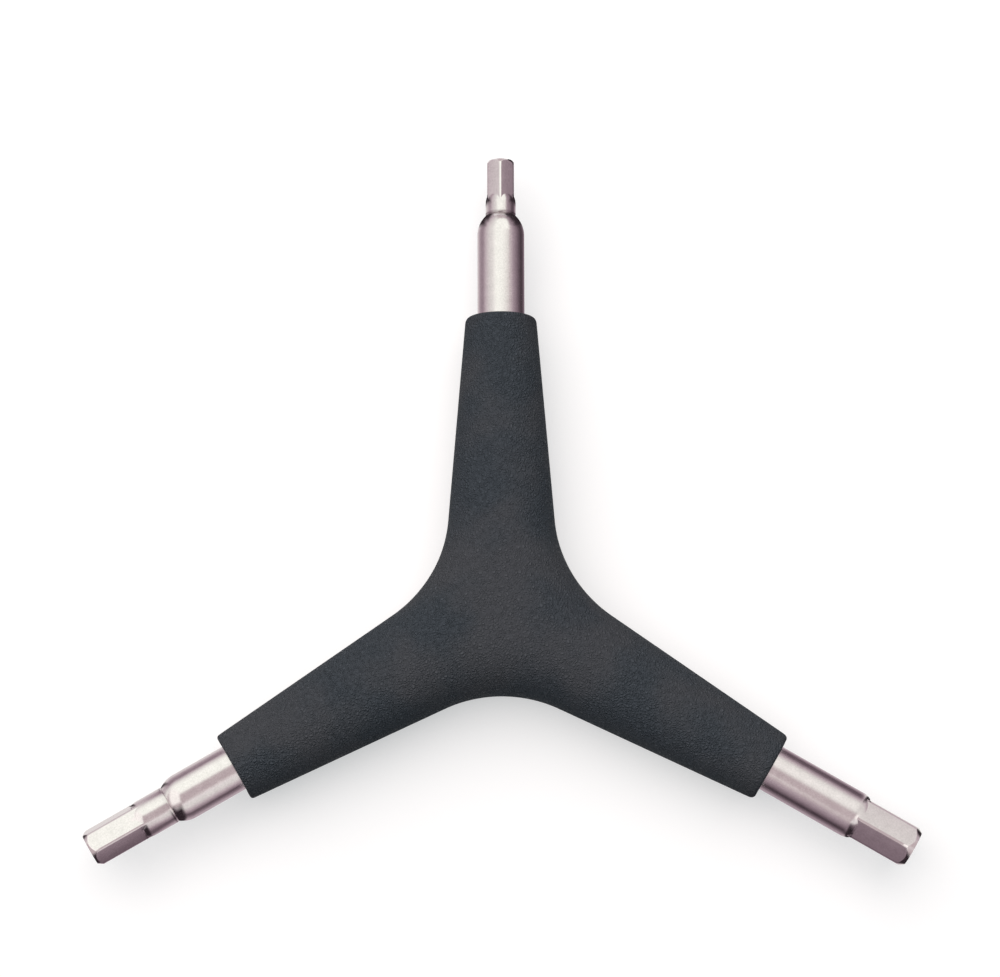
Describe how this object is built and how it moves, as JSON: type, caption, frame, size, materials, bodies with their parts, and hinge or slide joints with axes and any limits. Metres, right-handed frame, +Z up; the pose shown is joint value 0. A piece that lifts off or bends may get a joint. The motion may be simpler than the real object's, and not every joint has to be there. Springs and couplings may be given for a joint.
{
  "type": "y wrench",
  "caption": "Three-armed hexagon wrench: round steel shanks ending in hexagon tips of graded size, held in one dark tapered grip.",
  "frame": {"origin": "middle of the hub's flat underside, on the bench that the wrench lies on", "axes": "+Z up through the thickness, +Y along the arm with the 4 mm hexagon, 5 mm arm at 120 degrees to its left and 6 mm arm at 120 degrees to its right seen from above"},
  "size_m": [0.1211, 0.1053, 0.016],
  "materials": {
    "grip_skin": "fine leather grain, dull",
    "core_nylon": "as moulded",
    "hub_steel": "machined",
    "pin_steel": "ground",
    "bit_steel": "satin"
  },
  "bodies": {
    "root": {"grip": "grip_skin", "inner_core": "core_nylon", "centre_hub": "hub_steel", "hub_pin_4mm": "pin_steel", "hub_pin_5mm": "pin_steel", "hub_pin_6mm": "pin_steel", "hex_bit_4mm": "bit_steel", "hex_bit_5mm": "bit_steel", "hex_bit_6mm": "bit_steel"}
  },
  "joints": []
}
